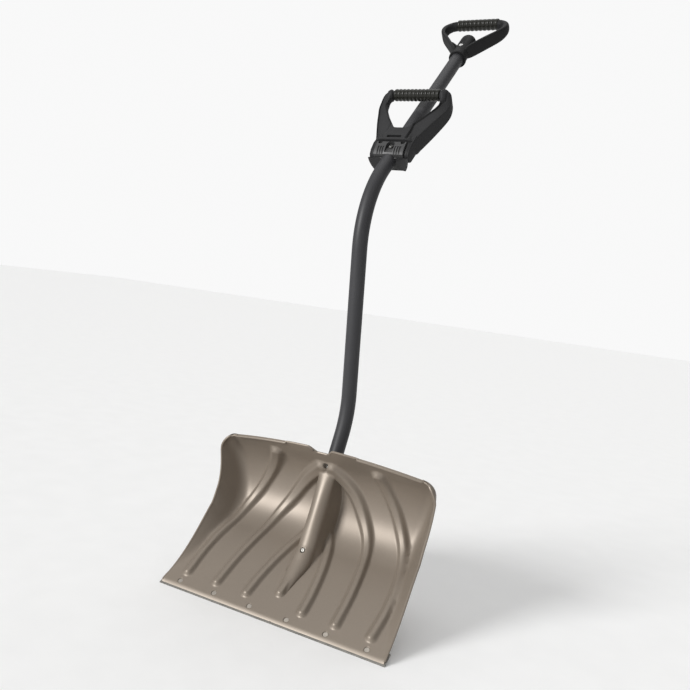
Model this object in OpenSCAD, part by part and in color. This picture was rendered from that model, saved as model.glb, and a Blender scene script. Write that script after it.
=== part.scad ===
// Ergonomic snow shovel: moulded scoop, twice-bent steel handle tube,
// fixed D-grip on the end and a fold-out D-grip part way up.
// Frame: X across the scoop, Y from the scoop's front to its back, Z up.
// Origin: middle of the cutting edge, where it meets the ground.

/* [Scoop] */
// Width of the scoop at its cutting edge
scoop_width = 457.2; // [440:0.1:480]
// Wall thickness of the moulded sheet
sheet_t = 3.2; // [2.8:0.1:4]
// Slope of the flat lower part above the ground, degrees
slope = 32.5; // [30:0.5:35]
// Length of the flat lower part, measured up the slope
flat_length = 166; // [160:1:172]
// Radius of the curl above it
curl_r = 100.5; // [96:0.5:106]
// Slope at which the curl ends and the straight lip begins, degrees
lip_slope = 138; // [134:1:142]
// Height of the raised ribs
rib_height = 6; // [4:0.5:7]
// Width of the raised ribs
rib_width = 21; // [18:0.5:24]

/* [Wear strip] */
// Width of the steel strip along the cutting edge
strip_width = 24; // [22:1:28]
// Thickness of the steel strip
strip_t = 1.9; // [1.5:0.1:2.5]
// Distance between the strip's rivets
rivet_pitch = 76.2; // [74:0.1:78]

/* [Handle tube] */
// Outer radius of the tube
tube_r = 14.3; // [13.5:0.1:14.3]
// Wall thickness of the tube
tube_wall = 1.2; // [1:0.1:1.6]
// Radius of the lower bend
bend1_r = 170; // [160:5:180]
// Radius of the upper bend
bend2_r = 190; // [180:5:200]

/* [Assist grip] */
// Outer half width across the top of the fold-out grip
assist_half = 76; // [74:1:78]
// Distance of its hand bar up the shaft
assist_bar_s = 294; // [292:1:296]
// Radius of the soft sleeve on its hand bar
assist_bar_r = 12; // [11:0.5:12]

/* [Top grip] */
// Outer half width of the end grip
top_half = 78; // [76:1:80]
// Distance of its hand bar up the shaft
top_bar_s = 667; // [662:1:670]
// Radius of the soft sleeve on its hand bar
top_bar_r = 12.5; // [11.5:0.5:13]

/* [Hidden] */
$fn = 48;

eps = 0.01;
half_w = scoop_width / 2;

// ---- scoop sheet: a profile swept across X, with a flared wall each side ----
edge_y = 0.8;                       // half width of the strip's ground face
strip_rise = strip_t / cos(slope);
sheet_rise = sheet_t / cos(slope);
front_z = strip_rise + sheet_rise - edge_y * tan(slope);
arc_len = curl_r * (lip_slope - slope) * PI / 180;
arc_y = flat_length * cos(slope) - curl_r * sin(slope);
arc_z = front_z + flat_length * sin(slope) + curl_r * cos(slope);
top_s = 369;                        // profile length at the top corners
crown = 24;                         // extra length at the middle of the top edge
flare_mid = 218;                    // half width of the wall's free edge, at its waist
flare_out = 8;                      // how much wider that edge is at its ends
wall_depth = 51;                    // greatest depth of the side walls
corner_s = 346;                     // where the top corners start to round
corner_r = 23;

function profile(s) =
    s < flat_length
        ? [s * cos(slope), front_z + s * sin(slope), slope]
        : s < flat_length + arc_len
            ? let(a = slope + (s - flat_length) / curl_r * 180 / PI)
              [arc_y + curl_r * sin(a), arc_z - curl_r * cos(a), a]
            : let(d = s - flat_length - arc_len)
              [arc_y + curl_r * sin(lip_slope) + d * cos(lip_slope),
               arc_z - curl_r * cos(lip_slope) + d * sin(lip_slope),
               lip_slope];

// Point x across, s up the profile and h proud of the sheet's front face
function on_sheet(x, s, h) =
    let(p = profile(s))
    [x, p[0] - h * sin(p[2]), p[1] + h * cos(p[2])];

function clamp01(v) = min(max(v, 0), 1);
function rounding(s) =
    corner_r * (1 - sqrt(1 - pow(clamp01((s - corner_s) / corner_r), 2)));
function edge_half(s) =
    flare_mid + flare_out * pow((s - top_s / 2) / (top_s / 2), 2) - rounding(s);
function flare(s) = 4 + 25 * pow(sin(180 * clamp01(s / 385)), 1.5);
function wall(s) =
    s < 235
        ? wall_depth * pow(sin(90 * pow(s / 225, 1.15)), 2) * (s < 225 ? 1 : 0)
          + (s < 225 ? 0 : wall_depth)
        : wall_depth * sqrt(max(0, 1 - pow((s - 235) / (top_s - 235), 2)));

rows = 24;
main_cols = 8;
bend_cols = 3;
wall_cols = 2;
half_cols = main_cols + bend_cols + wall_cols;
cols = 2 * half_cols;

// Half cross-section at s: [across, proud, tilt of the sheet there]
function section(k, s) =
    let(d = max(wall(s), 0.6), a = flare(s), len = sqrt(d * d + a * a),
        f = min(15, len * 0.45), foot = edge_half(s) - a, tilt = atan2(d, a))
    k <= main_cols
        ? [(foot - f) * k / main_cols, 0, 0]
        : k <= main_cols + bend_cols
            ? let(t = (k - main_cols) / bend_cols)
              [foot - f * pow(1 - t, 2) + f * a / len * t * t,
               f * d / len * t * t, tilt * t]
            : let(t = (k - main_cols - bend_cols) / wall_cols,
                  g = f + (len - f) * t)
              [foot + g * a / len, g * d / len, tilt];

function sheet_point(i, j, depth) =
    let(k = abs(j - half_cols), side = sign(j - half_cols),
        q = min(k / main_cols, 1),
        s = (top_s + crown * (1 - q * q)) * i / rows,
        c = section(k, min(s, s * top_s / (top_s + crown * (1 - q * q)))),
        bead = max(0, 1 - (rows - i) / 1.5) * 1.2)
    on_sheet(side * (c[0] + (depth + bead * depth / sheet_t) * sin(c[2])), s,
             c[1] - (depth + bead * depth / sheet_t) * cos(c[2]));

function grid_faces(a, b, c, d) = [[a, b, c], [a, c, d]];

module sheet() {
    n = (rows + 1) * (cols + 1);
    row = cols + 1;
    points = concat(
        [for (i = [0:rows]) for (j = [0:cols]) sheet_point(i, j, 0)],
        [for (i = [0:rows]) for (j = [0:cols]) sheet_point(i, j, sheet_t)]);
    faces = concat(
        [for (i = [0:rows - 1]) for (j = [0:cols - 1]) for (f = grid_faces(
            i * row + j, (i + 1) * row + j,
            (i + 1) * row + j + 1, i * row + j + 1)) f],
        [for (i = [0:rows - 1]) for (j = [0:cols - 1]) for (f = grid_faces(
            n + i * row + j, n + i * row + j + 1,
            n + (i + 1) * row + j + 1, n + (i + 1) * row + j)) f],
        [for (j = [0:cols - 1]) for (f = grid_faces(
            j, j + 1, n + j + 1, n + j)) f],
        [for (j = [0:cols - 1]) for (f = grid_faces(
            rows * row + j + 1, rows * row + j,
            n + rows * row + j, n + rows * row + j + 1)) f],
        [for (i = [0:rows - 1]) for (f = grid_faces(
            (i + 1) * row, i * row, n + i * row, n + (i + 1) * row)) f],
        [for (i = [0:rows - 1]) for (f = grid_faces(
            i * row + cols, (i + 1) * row + cols,
            n + (i + 1) * row + cols, n + i * row + cols)) f]);
    polyhedron(points, faces);
}

// ---- ridges that lie on the sheet: ribs, and the housing around the tube ----
// A ridge is swept along stations [x, s, half width, height].
ridge_sides = 8;

function ridge_ring(st, dir, sink) = [
    for (m = [0:ridge_sides]) let(
        a = 180 * m / ridge_sides,
        w = st[2] * cos(a),
        h = (st[3] + sink) * pow(sin(a), 0.8) - sink)
    on_sheet(st[0] + w * dir[1], st[1] - w * dir[0], h)];

module ridge(stations, sink = 1.6) {
    last = len(stations) - 1;
    ring = ridge_sides + 1;
    dirs = [for (i = [0:last]) let(
        a = stations[max(i - 1, 0)], b = stations[min(i + 1, last)],
        d = [b[0] - a[0], b[1] - a[1]]) d / norm(d)];
    points = [for (i = [0:last]) for (p = ridge_ring(stations[i], dirs[i], sink)) p];
    faces = concat(
        [for (i = [0:last - 1]) for (m = [0:ring - 1]) let(w = (m + 1) % ring)
            for (f = grid_faces(i * ring + m, i * ring + w,
                                (i + 1) * ring + w, (i + 1) * ring + m)) f],
        [for (m = [1:ring - 2]) [0, m + 1, m]],
        [for (m = [1:ring - 2])
            [last * ring, last * ring + m, last * ring + m + 1]]);
    polyhedron(points, faces);
}

// Quadratic curve through three guide points, with rounded ends
rib_steps = 12;
function rib_stations(a, b, c, w, h) = [
    for (i = [0:rib_steps]) let(
        t = (1 - cos(180 * i / rib_steps)) / 2,
        end = sqrt(max(0.05, 1 - pow(abs(2 * t - 1), 24))))
    [pow(1 - t, 2) * a[0] + 2 * t * (1 - t) * b[0] + t * t * c[0],
     pow(1 - t, 2) * a[1] + 2 * t * (1 - t) * b[1] + t * t * c[1],
     w / 2 * end, h * end]];

module ribs(side) {
    outer = rib_stations([side * 187, 30], [side * 208, 220],
                         [side * 104, 366], rib_width, rib_height);
    middle = rib_stations([side * 122, 30], [side * 118, 245],
                          [side * 20, 335], rib_width, rib_height);
    inner = rib_stations([side * 58, 30], [side * 50, 110],
                         [side * 22, 185], rib_width, rib_height);
    ridge(outer);
    ridge(middle);
    ridge(inner);
}

// ---- handle tube: three straight runs joined by two bends ----
lean_a = 20;
lean_b = -7.9;
lean_c = 44.4;
foot_y = 122.2;
foot_z = 83;
run_a = 231.5;
run_b = 271.4;
shaft_top = 598;
function heading(lean) = [0, sin(lean), cos(lean)];
function across(lean) = [0, cos(lean), -sin(lean)];
foot = [0, foot_y, foot_z];
bend1_in = foot + run_a * heading(lean_a);
bend1_centre = bend1_in - bend1_r * across(lean_a);
bend1_out = bend1_centre + bend1_r * across(lean_b);
bend2_in = bend1_out + run_b * heading(lean_b);
bend2_centre = bend2_in + bend2_r * across(lean_b);
bend2_out = bend2_centre - bend2_r * across(lean_c);
// The shaft frame starts where the middle and upper runs would meet.
corner = bend2_out - bend2_r * tan((lean_c - lean_b) / 2) * heading(lean_c);

// Children are placed in the upper run's frame: Z up the shaft, -Y its front
module on_shaft() {
    translate(corner) rotate([-lean_c, 0, 0]) children();
}

module run(from, lean, length, r) {
    translate(from) rotate([-lean, 0, 0]) cylinder(h = length, r = r, $fn = 36);
}

// Stations [centre, lean] down the middle of the whole tube
bend_steps = 10;
tube_path = concat(
    [[foot, lean_a]],
    [for (i = [0:bend_steps]) let(a = lean_a + (lean_b - lean_a) * i / bend_steps)
        [bend1_centre + bend1_r * across(a), a]],
    [for (i = [0:bend_steps]) let(a = lean_b + (lean_c - lean_b) * i / bend_steps)
        [bend2_centre - bend2_r * across(a), a]],
    [[corner + shaft_top * heading(lean_c), lean_c]]);
tube_sides = 32;

function tube_ring(st, r) = [
    for (m = [0:tube_sides - 1]) let(a = 360 * m / tube_sides)
    st[0] + r * cos(a) * [1, 0, 0] + r * sin(a) * across(st[1])];

module bent_tube() {
    last = len(tube_path) - 1;
    ring = tube_sides;
    n = (last + 1) * ring;
    points = [for (r = [tube_r, tube_r - tube_wall]) for (st = tube_path)
        for (p = tube_ring(st, r)) p];
    faces = concat(
        [for (i = [0:last - 1]) for (m = [0:ring - 1]) let(w = (m + 1) % ring)
            for (f = grid_faces(i * ring + m, (i + 1) * ring + m,
                                (i + 1) * ring + w, i * ring + w)) f],
        [for (i = [0:last - 1]) for (m = [0:ring - 1]) let(w = (m + 1) % ring)
            for (f = grid_faces(n + i * ring + m, n + i * ring + w,
                                n + (i + 1) * ring + w, n + (i + 1) * ring + m)) f],
        [for (m = [0:ring - 1]) let(w = (m + 1) % ring)
            for (f = grid_faces(m, w, n + w, n + m)) f],
        [for (m = [0:ring - 1]) let(w = (m + 1) % ring)
            for (f = grid_faces(last * ring + m, n + last * ring + m,
                                n + last * ring + w, last * ring + w)) f]);
    polyhedron(points, faces);
}

// ---- scoop ----
socket_wall = 3;
tube_fit = 0.1;
screw_r = 2.1;
screw_up = 166;     // upper socket screw, up the tube from its foot
screw_low = 9;      // lower socket screw
screw_seat = tube_r + 3.4;          // how far their heads sit from its axis
sleeve_up = 180;    // length of the sleeve that holds the tube

// Places children on the front of the tube in the socket, Z pointing out
module on_socket(up) {
    translate(foot + up * heading(lean_a)) rotate([90 - lean_a, 0, 0]) children();
}

// Housing: a tail rising from the sheet, then a tall hood over the tube
housing = [
    [0, 50, 7, 1.5], [0, 54, 9.5, 4.5], [0, 62, 11, 6], [0, 90, 14, 9],
    [0, 120, 19, 15], [0, 140, 22, 22], [0, 160, 24, 32], [0, 180, 25, 42],
    [0, 200, 25.5, 48], [0, 222, 26, 50.5], [0, 245, 26, 50], [0, 268, 26, 46],
    [0, 290, 25, 34], [0, 305, 24, 23], [0, 318, 22, 13], [0, 328, 17, 5]];
hollow = [for (i = [4:len(housing) - 2]) let(st = housing[i])
    [0, st[1], st[2] - socket_wall, st[3] - socket_wall]];

module blade() {
    color([0.58, 0.54, 0.49]) difference() {
        union() {
            ribs(-1);
            ribs(1);
            difference() {
                union() {
                    sheet();
                    ridge(housing);
                }
                ridge(hollow, 12);
            }
            // sleeve around the tube, closed at its foot
            run(foot - 4 * heading(lean_a), lean_a, sleeve_up, tube_r + socket_wall);
        }
        run(foot, lean_a, run_a, tube_r + tube_fit);
        for (k = [-2.5:1:2.5]) on_slope(k * rivet_pitch, strip_width / 2)
            rivet_hole($fn = 16);
        for (up = [screw_low, screw_up]) on_socket(up) {
            cylinder(h = screw_seat + 1, r = screw_r + 0.1, $fn = 16);
            translate([0, 0, screw_seat]) cylinder(h = 20, r = 4.6, $fn = 24);
        }
    }
}

// ---- wear strip and its rivets ----
// Z out of the sheet's front face, at x across and s up the slope
module on_slope(x, s) {
    translate([x, s * cos(slope), front_z + s * sin(slope)])
        rotate([slope, 0, 0]) children();
}

rivet_r = 2.4;
rivet_head_r = 4.4;
rivet_gap = 0.12;
grip_t = sheet_t + strip_t;

module rivet_hole() {
    translate([0, 0, -grip_t - 1]) cylinder(h = grip_t + 2, r = rivet_r + rivet_gap);
    translate([0, 0, -1.9]) cylinder(h = 4, r = rivet_head_r + rivet_gap);
}

module wear_strip() {
    u = [cos(slope), sin(slope)];
    v = [-sin(slope), cos(slope)];
    tip = [edge_y, 0];
    back = tip + (strip_width - edge_y) * u;
    color([0.55, 0.53, 0.5]) difference() {
        translate([-half_w, 0, 0]) rotate([90, 0, 90])
            linear_extrude(height = scoop_width) polygon([
                [-edge_y, 0], tip, back, back + strip_t * v,
                [-edge_y, strip_rise - 2 * edge_y * tan(slope)]]);
        for (k = [-2.5:1:2.5]) on_slope(k * rivet_pitch, strip_width / 2)
            rivet_hole();
    }
}

module wear_strip_rivets() {
    color([0.8, 0.78, 0.74])
        for (k = [-2.5:1:2.5]) on_slope(k * rivet_pitch, strip_width / 2) {
            translate([0, 0, -grip_t + 0.1]) cylinder(h = grip_t - 1.7, r = rivet_r);
            translate([0, 0, -1.8]) cylinder(h = 1, r = rivet_head_r);
        }
}

// ---- handle ----
module handle_tube() {
    color([0.27, 0.27, 0.28]) difference() {
        bent_tube();
        for (up = [screw_low, screw_up]) on_socket(up)
            cylinder(h = tube_r + 5, r = screw_r + 0.1);
        on_shaft() {
            front_hole(locate_s, screw_r + 0.1);
            front_hole(top_rivet_s, screw_r + 0.1);
        }
    }
}

// A round hole through the front wall of the tube, in the shaft frame
module front_hole(s, r) {
    translate([0, 0, s]) rotate([90, 0, 0]) cylinder(h = tube_r + 5, r = r);
}

// Pan-head screw lying along Z: the head's underside at z = 0, shank below
module pan_screw(shank_r, length, head_r, head_h) {
    difference() {
        union() {
            translate([0, 0, -length]) cylinder(h = length + eps, r = shank_r);
            cylinder(h = head_h * 0.55, r = head_r);
            translate([0, 0, head_h * 0.55 - eps])
                cylinder(h = head_h * 0.45, r1 = head_r, r2 = head_r * 0.7);
        }
        for (turn = [0, 90]) rotate([0, 0, turn])
            translate([-head_r * 0.55, -0.5, head_h - 1])
                cube([head_r * 1.1, 1, 2]);
    }
}

module socket_screw(up) {
    color([0.72, 0.69, 0.64]) on_socket(up) translate([0, 0, screw_seat])
        pan_screw(screw_r, screw_seat - tube_r + 8, 4.2, 2.4);
}

module socket_screw_upper() socket_screw(screw_up);
module socket_screw_lower() socket_screw(screw_low);

// ---- end grip ----
collar_s = 515;
collar_top = 600;
collar_r = 18;
top_depth = 26;     // depth of the strap arms, front to back
strap_t = 7;
top_bar_p = 5;      // how far the bar's axis lies in front of the tube's
top_rivet_s = 547;
top_rivet_seat = 17.2;               // flat under the rivet's head
sleeve_half = 50;

// Outline of a D, as [x, s] points: two legs up to rounded shoulders
function d_outline(foot_half, foot_s, half, low_s, top_s, r) = concat(
    [[foot_half, foot_s], [half, low_s]],
    [for (a = [0:15:90]) [half - r + r * cos(a), top_s - r + r * sin(a)]],
    [for (a = [90:15:180]) [r - half + r * cos(a), top_s - r + r * sin(a)]],
    [[-half, low_s], [-foot_half, foot_s]]);

// Extrudes an outline drawn in x and s from p0 behind to p1 in front
module slab(p0, p1) {
    translate([0, -p0, 0]) rotate([90, 0, 0]) linear_extrude(height = p1 - p0)
        children();
}

module top_grip() {
    color([0.12, 0.12, 0.12]) on_shaft() difference() {
        union() {
            translate([0, 0, collar_s]) cylinder(h = collar_top - collar_s, r = collar_r);
            translate([0, 0, collar_top - 10]) sphere(r = collar_r);
            slab(top_bar_p - top_depth / 2, top_bar_p + top_depth / 2) difference() {
                polygon(d_outline(collar_r, collar_s + 4, top_half,
                                  top_bar_s - 20, top_bar_s + 12, 27));
                polygon(d_outline(collar_r - 4, collar_top - 12, top_half - strap_t,
                                  top_bar_s - 20, top_bar_s - 9, 10));
            }
        }
        translate([0, 0, collar_s - 1]) cylinder(h = collar_top - collar_s - 1, r = tube_r + tube_fit);
        translate([0, -top_bar_p, top_bar_s]) rotate([0, 90, 0])
            translate([0, 0, -sleeve_half]) difference() {
                cylinder(h = 2 * sleeve_half, r = 40);
                translate([0, 0, -1]) cylinder(h = 2 * sleeve_half + 2, r = 8);
                translate([9.6, -60, -1]) cube([60, 120, 2 * sleeve_half + 2]);
            }
        front_hole(top_rivet_s, screw_r + 0.1);
        translate([0, -top_rivet_seat, top_rivet_s]) rotate([90, 0, 0])
            cylinder(h = 5, r = 4.9);
    }
}

module grip_sleeve(bar_s, bar_p, r, core_r, bumps) {
    pitch = 2 * (sleeve_half - 3) / bumps;
    translate([0, -bar_p, bar_s]) rotate([0, 90, 0]) difference() {
        union() {
            translate([0, 0, -sleeve_half + 0.2])
                cylinder(h = 2 * sleeve_half - 0.4, r = r - 1.2);
            for (k = [0:bumps - 1]) translate([0, 0, (k + 0.5 - bumps / 2) * pitch])
                rotate_extrude() translate([r - 1.6, 0]) circle(r = 1.6, $fn = 24);
        }
        translate([0, 0, -sleeve_half]) cylinder(h = 2 * sleeve_half, r = core_r);
    }
}

module top_grip_sleeve() {
    color([0.17, 0.17, 0.15]) on_shaft()
        grip_sleeve(top_bar_s, top_bar_p, top_bar_r, 8, 10);
}

module top_grip_rivet() {
    color([0.85, 0.85, 0.85]) on_shaft() translate([0, 0, top_rivet_s])
        rotate([90, 0, 0]) translate([0, 0, top_rivet_seat])
            pan_screw(screw_r, 8, 4.6, 1.8);
}

// ---- clamp that carries the fold-out grip ----
block_half = 30.5;
block_low = 127;
block_top = 153.5;
split_gap = 0.6;
pivot_s = 136;
pivot_p = 8;
pivot_r = 2.5;
clamp_x = 23.5;
clamp_s = 148;
locate_s = 142;
recess_half = 8;

module clamp_bore() {
    translate([0, 0, 80]) cylinder(h = 120, r = tube_r + tube_fit);
}

module clamp_screw_holes(r) {
    for (side = [-1, 1]) translate([side * clamp_x, 40, clamp_s])
        rotate([90, 0, 0]) cylinder(h = 80, r = r);
}

module hinge_block() {
    color([0.13, 0.13, 0.13]) on_shaft() difference() {
        translate([-block_half, 0, 0]) rotate([90, 0, 90])
            linear_extrude(height = 2 * block_half) polygon([
                [-split_gap, block_low], [-15, block_low], [-19, block_low + 6],
                [-24, block_top - 4], [-22, block_top], [-split_gap, block_top]]);
        clamp_bore();
        clamp_screw_holes(2.1);
        // counterbores for the screw heads
        for (side = [-1, 1]) translate([side * clamp_x, -18, clamp_s])
            rotate([90, 0, 0]) cylinder(h = 20, r = 4.2);
        // arched recess around the locating screw
        translate([0, -17.5, locate_s]) rotate([90, 0, 0])
            cylinder(h = 20, r = recess_half);
        translate([-recess_half, -37.5, block_low - 1])
            cube([2 * recess_half, 20, locate_s - block_low + 1]);
        front_hole(locate_s, screw_r + 0.1);
        // moulded flutes between the knuckles
        for (side = [-1, 1]) for (k = [0:2])
            translate([side * (12.5 + 5 * k), -21, block_low - 1])
                cylinder(h = 12, r = 1.5, $fn = 24);
        for (side = [-1, 1]) translate([side * 17.5, -pivot_p, pivot_s])
            rotate([0, 90 * side, 0]) cylinder(h = 30, r = pivot_r - 0.3);
    }
}

skirt_low = 106;
skirt_top = 110.2;
module clamp_saddle() {
    color([0.13, 0.13, 0.13]) on_shaft() difference() {
        union() {
            // half round shell behind the tube, with flat ears
            intersection() {
                translate([0, 0, skirt_top - 0.2])
                    cylinder(h = block_top - skirt_top + 0.2, r = tube_r + 4.5);
                translate([-40, split_gap, 0]) cube([80, 40, 200]);
            }
            for (side = [-1, 1]) translate([side * clamp_x - 7, split_gap, block_low])
                cube([14, 6, block_top - block_low]);
            // flared skirt that closes the clamp's foot
            intersection() {
                translate([0, 0, skirt_low])
                    cylinder(h = skirt_top - skirt_low, r1 = 38, r2 = 34);
                translate([-40, -8, 0]) cube([80, 28, 200]);
            }
        }
        clamp_bore();
        clamp_screw_holes(2.1);
        for (side = [-1, 1]) translate([side * clamp_x, 7.5, clamp_s])
            rotate([90, 30, 0]) cylinder(h = 3.7, r = 4.2, $fn = 6);
    }
}

module clamp_screws() {
    color([0.4, 0.4, 0.4]) on_shaft() for (side = [-1, 1])
        translate([side * clamp_x, -18.1, clamp_s]) rotate([90, 0, 0])
            pan_screw(2, 24.4, 4, 2.4);
}

module clamp_nuts() {
    color([0.5, 0.5, 0.5]) on_shaft() for (side = [-1, 1])
        translate([side * clamp_x, 7, clamp_s]) rotate([90, 30, 0]) difference() {
            cylinder(h = 3.1, r = 4.1, $fn = 6);
            translate([0, 0, -1]) cylinder(h = 6, r = 2.05);
        }
}

module locating_screw() {
    color([0.45, 0.45, 0.45]) on_shaft() translate([0, -17.6, locate_s])
        rotate([90, 0, 0]) pan_screw(screw_r, 8, 4.4, 2.6);
}

module hinge_pins() {
    color([0.55, 0.55, 0.55]) on_shaft() for (side = [-1, 1])
        translate([side * 18, -pivot_p, pivot_s]) rotate([0, 90 * side, 0]) {
            cylinder(h = 12.6, r = pivot_r - 0.3);
            translate([0, 0, 12.6]) cylinder(h = 7.2, r = pivot_r);
            translate([0, 0, 19.2]) cylinder(h = 1.2, r = 4.2);
        }
}

// ---- fold-out grip ----
cheek_in = 31.2;
cheek_out = 37.5;
grip_low = 111;
plate_low = 154.2;
plate_front = 28.5;
plate_back = 24.5;
grip_top = assist_bar_s + 13;
bar_p = 39;
wall_t = 3.5;
wall_back = tube_r + 1.2;           // back edge of the opening's walls
tube_clear = 1;                     // gap around the tube where the grip folds over it
hand_low = 193;
hand_low_half = 15;
hand_top = assist_bar_s - 12;
hand_top_half = 54;

module grip_outline() {
    polygon(d_outline(cheek_out, grip_low, assist_half, assist_bar_s - 22, grip_top, 27));
}

module grip_inside() {
    polygon(d_outline(cheek_out - wall_t, grip_low - 1, assist_half - wall_t,
                      assist_bar_s - 22, grip_top - wall_t, 25));
}

// Hand opening, grown by g all round
module hand_outline(g) {
    polygon([
        [-hand_low_half - g, hand_low - g], [hand_low_half + g, hand_low - g],
        [hand_top_half + g, hand_top - 8], [hand_top_half - 7 + g, hand_top + g],
        [7 - hand_top_half - g, hand_top + g], [-hand_top_half - g, hand_top - 8]]);
}

// Full-width solid from an outline seen from the side, as [behind, s] points
module side_cut(outline) {
    translate([-100, 0, 0]) rotate([90, 0, 90]) linear_extrude(height = 200)
        polygon(outline);
}

module assist_grip() {
    color([0.12, 0.12, 0.12]) on_shaft() difference() {
        union() {
            // outer walls, tapering towards the hand bar
            difference() {
                slab(-6, 44) grip_outline();
                slab(-7, plate_back) grip_inside();
                // back edge slopes forward towards the bar
                side_cut([[3.5, plate_low], [20, plate_low], [20, 320], [-9, 320],
                          [-5, assist_bar_s - 20]]);
                // front face leans out to meet the bar
                side_cut([[-60, 100], [-plate_front, 100], [-plate_front, 195],
                          [-plate_front - 10, 270], [-plate_front - 11, 320], [-60, 320]]);
            }
            // walls around the hand opening
            slab(wall_back, plate_back + 1) difference() {
                hand_outline(wall_t);
                hand_outline(0);
            }
            // cheeks around the pivots
            for (side = [-1, 1])
                translate([side > 0 ? cheek_in : -cheek_out, 0, 0]) rotate([90, 0, 90])
                    linear_extrude(height = cheek_out - cheek_in) polygon([
                        [4, grip_low], [6, grip_low + 3], [6, plate_low + 16],
                        [-plate_back, plate_low + 16], [-plate_back, plate_low - 4],
                        [-14, grip_low + 14], [-6, grip_low]]);
            // core of the hand bar
            translate([-assist_half + 10, -bar_p, assist_bar_s]) rotate([0, 90, 0])
                cylinder(h = 2 * assist_half - 20, r = 8.5);
            for (side = [-1, 1]) translate([side * (sleeve_half + 8), -bar_p + 1, assist_bar_s])
                sphere(r = 11.5);
        }
        // hand opening, and a notch that clears the tube
        slab(-10, 60) hand_outline(0);
        translate([0, 0, 200]) cylinder(h = 120, r = tube_r + tube_clear);
        // clearance for the sleeve
        translate([-sleeve_half, -bar_p, assist_bar_s]) rotate([0, 90, 0]) difference() {
            cylinder(h = 2 * sleeve_half, r = assist_bar_r + 3);
            translate([0, 0, -1]) cylinder(h = 2 * sleeve_half + 2, r = 8.5);
        }
        // foot is cut away in front of the clamp
        side_cut([[-60, 100], [-6, 100], [-6, grip_low], [-14, grip_low + 14],
                  [6.2 - plate_back, plate_low - 12], [6.2 - plate_back, plate_low],
                  [-60, plate_low]]);
        translate([-cheek_in, -60, 100]) cube([2 * cheek_in, 100, plate_low - 100]);
        // catch slot in the front plate
        slab(plate_back - 3, plate_front + 3) translate([-14, 160]) square([28, 6]);
        for (side = [-1, 1]) translate([side * 25, -pivot_p, pivot_s])
            rotate([0, 90 * side, 0]) cylinder(h = 30, r = pivot_r + 0.06);
        for (side = [-1, 1]) translate([side * (cheek_out - 1.5), -pivot_p, pivot_s])
            rotate([0, 90 * side, 0]) cylinder(h = 10, r = 5);
    }
}

module assist_grip_sleeve() {
    color([0.2, 0.2, 0.17]) on_shaft()
        grip_sleeve(assist_bar_s, bar_p, assist_bar_r, 8.5, 12);
}

blade();
wear_strip();
wear_strip_rivets();
socket_screw_upper();
socket_screw_lower();
handle_tube();
top_grip();
top_grip_sleeve();
top_grip_rivet();
hinge_block();
clamp_saddle();
clamp_screws();
clamp_nuts();
locating_screw();
hinge_pins();
assist_grip();
assist_grip_sleeve();
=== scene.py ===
import math

import bmesh
import bpy
import numpy as np
from mathutils import Matrix, Vector


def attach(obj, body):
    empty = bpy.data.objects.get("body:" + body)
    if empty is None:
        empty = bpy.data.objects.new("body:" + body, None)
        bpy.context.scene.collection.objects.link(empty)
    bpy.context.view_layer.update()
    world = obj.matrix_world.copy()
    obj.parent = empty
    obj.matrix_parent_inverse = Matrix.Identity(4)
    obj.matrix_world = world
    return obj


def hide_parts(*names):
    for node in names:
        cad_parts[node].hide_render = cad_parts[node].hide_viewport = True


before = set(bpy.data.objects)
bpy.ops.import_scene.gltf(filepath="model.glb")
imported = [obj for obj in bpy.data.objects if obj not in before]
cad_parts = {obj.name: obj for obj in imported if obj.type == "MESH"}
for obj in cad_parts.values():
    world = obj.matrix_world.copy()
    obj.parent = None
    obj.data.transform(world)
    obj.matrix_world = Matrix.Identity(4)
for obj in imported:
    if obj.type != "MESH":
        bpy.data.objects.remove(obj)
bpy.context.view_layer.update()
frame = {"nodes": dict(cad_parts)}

# Snow shovel: moulded scoop, twice-bent tube, end grip and fold-out grip.
# Lengths are millimetres and angles are degrees, as in the part's source, and every mesh
# is scaled to metres as it is made. Materials, camera, floor and lights are in metres.
MM = 0.001

# ---- driving sizes ----
SHEET_T = 3.2
STRIP_T = 1.9
STRIP_WIDTH = 24.0
RIVET_PITCH = 76.2
RIVETS = 6
SLOPE = 32.5            # of the scoop's flat part
FLAT_LENGTH = 166.0
CURL_R = 100.5
LIP_SLOPE = 138.0       # of the sheet where it ends at the top
TOP_S = 369.0           # length of the sheet's profile at the sides
CROWN = 24.0            # how much longer it is in the middle
EDGE_Y = 0.8            # how far the cutting edge lies in front of y = 0

TUBE_R = 14.3
TUBE_WALL = 1.2
BORE_R = TUBE_R + 0.15  # of every part that takes the tube
SOCKET_WALL = 3.0
LEAN_A, LEAN_B, LEAN_C = 20.0, -7.9, 44.4    # of the tube's three straight runs
RUN_A, RUN_B = 231.5, 271.4                  # lengths of the lower two
BEND1_R, BEND2_R = 170.0, 190.0
SHAFT_TOP = 598.0       # upper end of the tube, from the corner its upper runs make
FOOT = np.array([0.0, 122.2, 83.0])          # lower end of the tube's axis
ACROSS_X = np.array([1.0, 0, 0])


def sind(a):
    return np.sin(np.radians(a))


def cosd(a):
    return np.cos(np.radians(a))


def smooth(v, low, high):
    """0 below low, 1 above high, and an S-curve between."""
    t = np.clip((np.asarray(v, float) - low) / (high - low), 0, 1)
    return t * t * (3 - 2 * t)


def heading(lean):
    """Direction up the tube where it leans back by this much."""
    return np.array([0, sind(lean), cosd(lean)])


def across(lean):
    """Direction square to heading(lean), towards the back."""
    return np.array([0, cosd(lean), -sind(lean)])


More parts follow.
